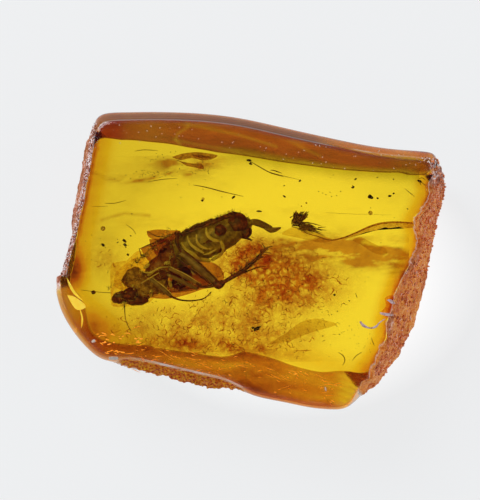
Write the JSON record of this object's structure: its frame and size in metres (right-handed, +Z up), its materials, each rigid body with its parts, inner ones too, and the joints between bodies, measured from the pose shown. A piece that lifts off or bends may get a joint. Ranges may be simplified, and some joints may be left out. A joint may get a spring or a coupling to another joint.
{
  "type": "insect in amber",
  "caption": "Polished slab-like lump of clear golden amber with rough broken sides, lying flat, with a winged insect and plant debris sealed inside.",
  "frame": {"origin": "centre of the box at its base, on the surface the piece rests on", "axes": "+Z up through the big polished face, +X along the longest side towards the wide broken flank, +Y towards the overhanging head edge"},
  "size_m": [0.024, 0.0182, 0.008],
  "materials": {
    "amber": "polished",
    "insect": "satin",
    "debris": "matte"
  },
  "bodies": {
    "root": {"amber": "amber"}
  },
  "joints": []
}
